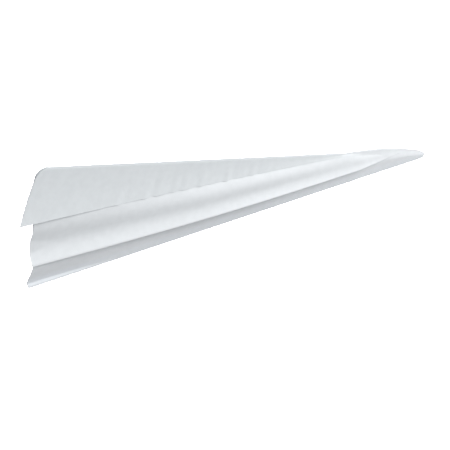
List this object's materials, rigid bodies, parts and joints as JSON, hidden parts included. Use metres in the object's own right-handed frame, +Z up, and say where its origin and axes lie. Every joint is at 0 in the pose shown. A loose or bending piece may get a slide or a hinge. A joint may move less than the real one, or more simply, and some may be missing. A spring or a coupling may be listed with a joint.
{
  "type": "folded paper airplane",
  "caption": "Folded paper airplane with a pinched keel, two body sides, sprung flaps and wings that fold down over the body and open for flight.",
  "frame": {"origin": "bottom of the keel fold, 140 mm forward of the tail edge, where fingers pinch the plane", "axes": "+X forward to the nose, +Y to the plane's left, +Z up from the keel"},
  "size_m": [0.3076, 0.0092, 0.0719],
  "materials": {
    "keel": "matte office paper",
    "body_side": "matte office paper",
    "flap": "matte office paper",
    "flap_lining": "matte office paper",
    "wing": "matte office paper",
    "wing_lining": "matte office paper"
  },
  "bodies": {
    "keel": {"keel_fold": "keel"},
    "right_side": {"right_side": "body_side"},
    "right_flap": {"right_flap": "flap", "right_flap_lining": "flap_lining"},
    "right_wing": {"right_wing": "wing", "right_wing_lining": "wing_lining"},
    "left_side": {"left_side": "body_side"},
    "left_flap": {"left_flap": "flap", "left_flap_lining": "flap_lining"},
    "left_wing": {"left_wing": "wing", "left_wing_lining": "wing_lining"}
  },
  "joints": [
    {"name": "right_side_open", "type": "hinge", "parent": "keel", "child": "right_side", "pos_m": [0, 0, 0.0004], "axis": [1, 0, 0], "range_deg": [0, 8]},
    {"name": "right_wing_fold", "type": "hinge", "parent": "right_side", "child": "right_wing", "pos_m": [-0.14, -0.0011, 0.0733], "axis": [-0.975, 0, 0.2224], "range_deg": [0, 90]},
    {"name": "right_flap_spring", "type": "hinge", "parent": "right_side", "child": "right_flap", "pos_m": [-0.14, -0.0011, 0.0733], "axis": [-0.975, 0, 0.2224], "range_deg": [0, 9]},
    {"name": "left_side_open", "type": "hinge", "parent": "keel", "child": "left_side", "pos_m": [0, 0, 0.0004], "axis": [-1, 0, 0], "range_deg": [0, 8]},
    {"name": "left_wing_fold", "type": "hinge", "parent": "left_side", "child": "left_wing", "pos_m": [-0.14, 0.0011, 0.0733], "axis": [0.975, 0, -0.2224], "range_deg": [0, 90]},
    {"name": "left_flap_spring", "type": "hinge", "parent": "left_side", "child": "left_flap", "pos_m": [-0.14, 0.0011, 0.0733], "axis": [0.975, 0, -0.2224], "range_deg": [0, 9]}
  ],
  "couplings": [
    {"joint": "right_flap_spring", "follows": "right_wing_fold", "ratio": 0.1},
    {"joint": "left_flap_spring", "follows": "left_wing_fold", "ratio": 0.1}
  ]
}
